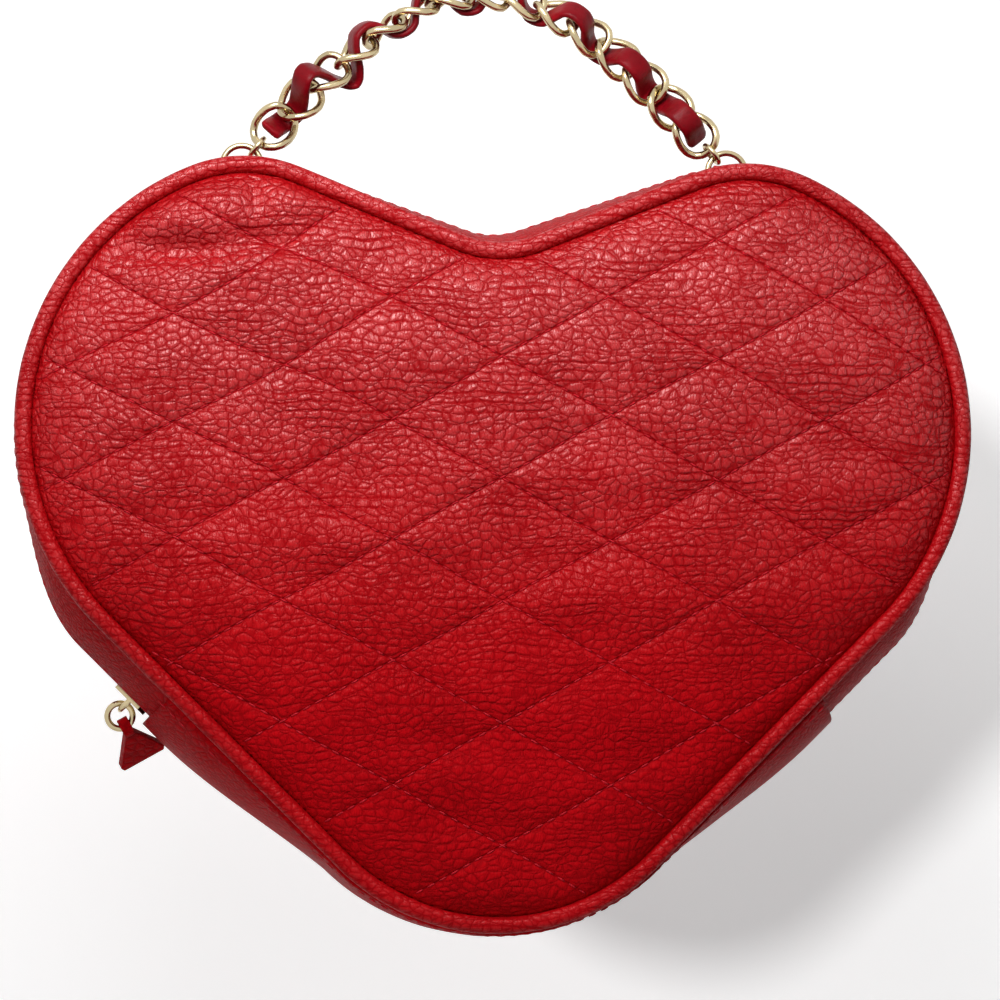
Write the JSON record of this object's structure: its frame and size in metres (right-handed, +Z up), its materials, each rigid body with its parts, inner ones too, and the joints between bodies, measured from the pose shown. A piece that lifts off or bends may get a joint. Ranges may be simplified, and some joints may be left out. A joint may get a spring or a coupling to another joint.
{
  "type": "heart shaped purse",
  "caption": "Quilted heart shaped purse with piped edges, a zip round its top, a leather pull and a short chain strap with a woven leather lace.",
  "frame": {"origin": "underside of the chain's highest link, where the strap is carried", "axes": "+Z up as carried, front panel facing -Y, width along X"},
  "size_m": [0.2418, 0.068, 0.2487],
  "materials": {
    "quilted_leather": "pebbled, soft sheen, padded and quilted in diamonds",
    "plain_leather": "pebbled, soft sheen",
    "piping_leather": "pebbled, creased round its cord",
    "lace_leather": "smooth, cut edges",
    "lining_cloth": "plain woven",
    "zip_tape_cloth": "twill",
    "zip_tooth_plastic": "moulded",
    "gold_metal": "pale gold plating, polished"
  },
  "bodies": {
    "strap": {"d_ring_left": "gold_metal", "d_ring_right": "gold_metal", "jump_ring_left": "gold_metal", "jump_ring_right": "gold_metal", "chain_left": "gold_metal", "chain_top": "gold_metal", "chain_right": "gold_metal", "lace": "lace_leather"},
    "bag": {"back_panel": "quilted_leather", "back_lining": "lining_cloth", "back_piping": "piping_leather", "rear_zip_strip": "plain_leather", "rear_zip_tape": "zip_tape_cloth", "rear_zip_teeth": "zip_tooth_plastic", "lower_gusset": "plain_leather", "lower_gusset_lining": "lining_cloth", "front_panel_lower": "quilted_leather", "front_lining_lower": "lining_cloth", "front_piping_lower": "piping_leather", "front_strip_lower": "plain_leather", "front_tape_lower": "zip_tape_cloth", "front_teeth_lower": "zip_tooth_plastic", "zip_top_stop": "gold_metal", "zip_bottom_stop": "gold_metal", "strap_tab_left": "plain_leather", "strap_tab_right": "plain_leather"},
    "front": {"front_panel": "quilted_leather", "front_lining": "lining_cloth", "front_piping": "piping_leather", "front_zip_strip": "plain_leather", "front_zip_tape": "zip_tape_cloth", "front_zip_teeth": "zip_tooth_plastic"},
    "slider": {"zip_slider": "gold_metal"},
    "pull_ring": {"pull_ring": "gold_metal"},
    "pull_tab": {"pull_tab": "plain_leather"}
  },
  "joints": [
    {"name": "bag_swing", "type": "hinge", "parent": "strap", "child": "bag", "pos_m": [0, 0, -0.03951], "axis": [1, 0, 0], "range_deg": [-50, 50]},
    {"name": "front_open", "type": "hinge", "parent": "bag", "child": "front", "pos_m": [0, -0.04148, -0.15982], "axis": [1, 0, 0], "range_deg": [0, 32]},
    {"name": "slider_travel", "type": "slide", "parent": "bag", "child": "slider", "axis": [-0.7071, 0, 0.7071], "range_m": [0, 0.014]},
    {"name": "pull_ring_swing", "type": "hinge", "parent": "slider", "child": "pull_ring", "pos_m": [-0.09284, -0.00668, -0.17912], "axis": [0.9063, 0, -0.4226], "range_deg": [-8, 6]},
    {"name": "pull_tab_swing", "type": "hinge", "parent": "pull_ring", "child": "pull_tab", "pos_m": [-0.09265, -0.00668, -0.18482], "axis": [0.8746, 0, 0.4848], "range_deg": [-85, 0]}
  ]
}
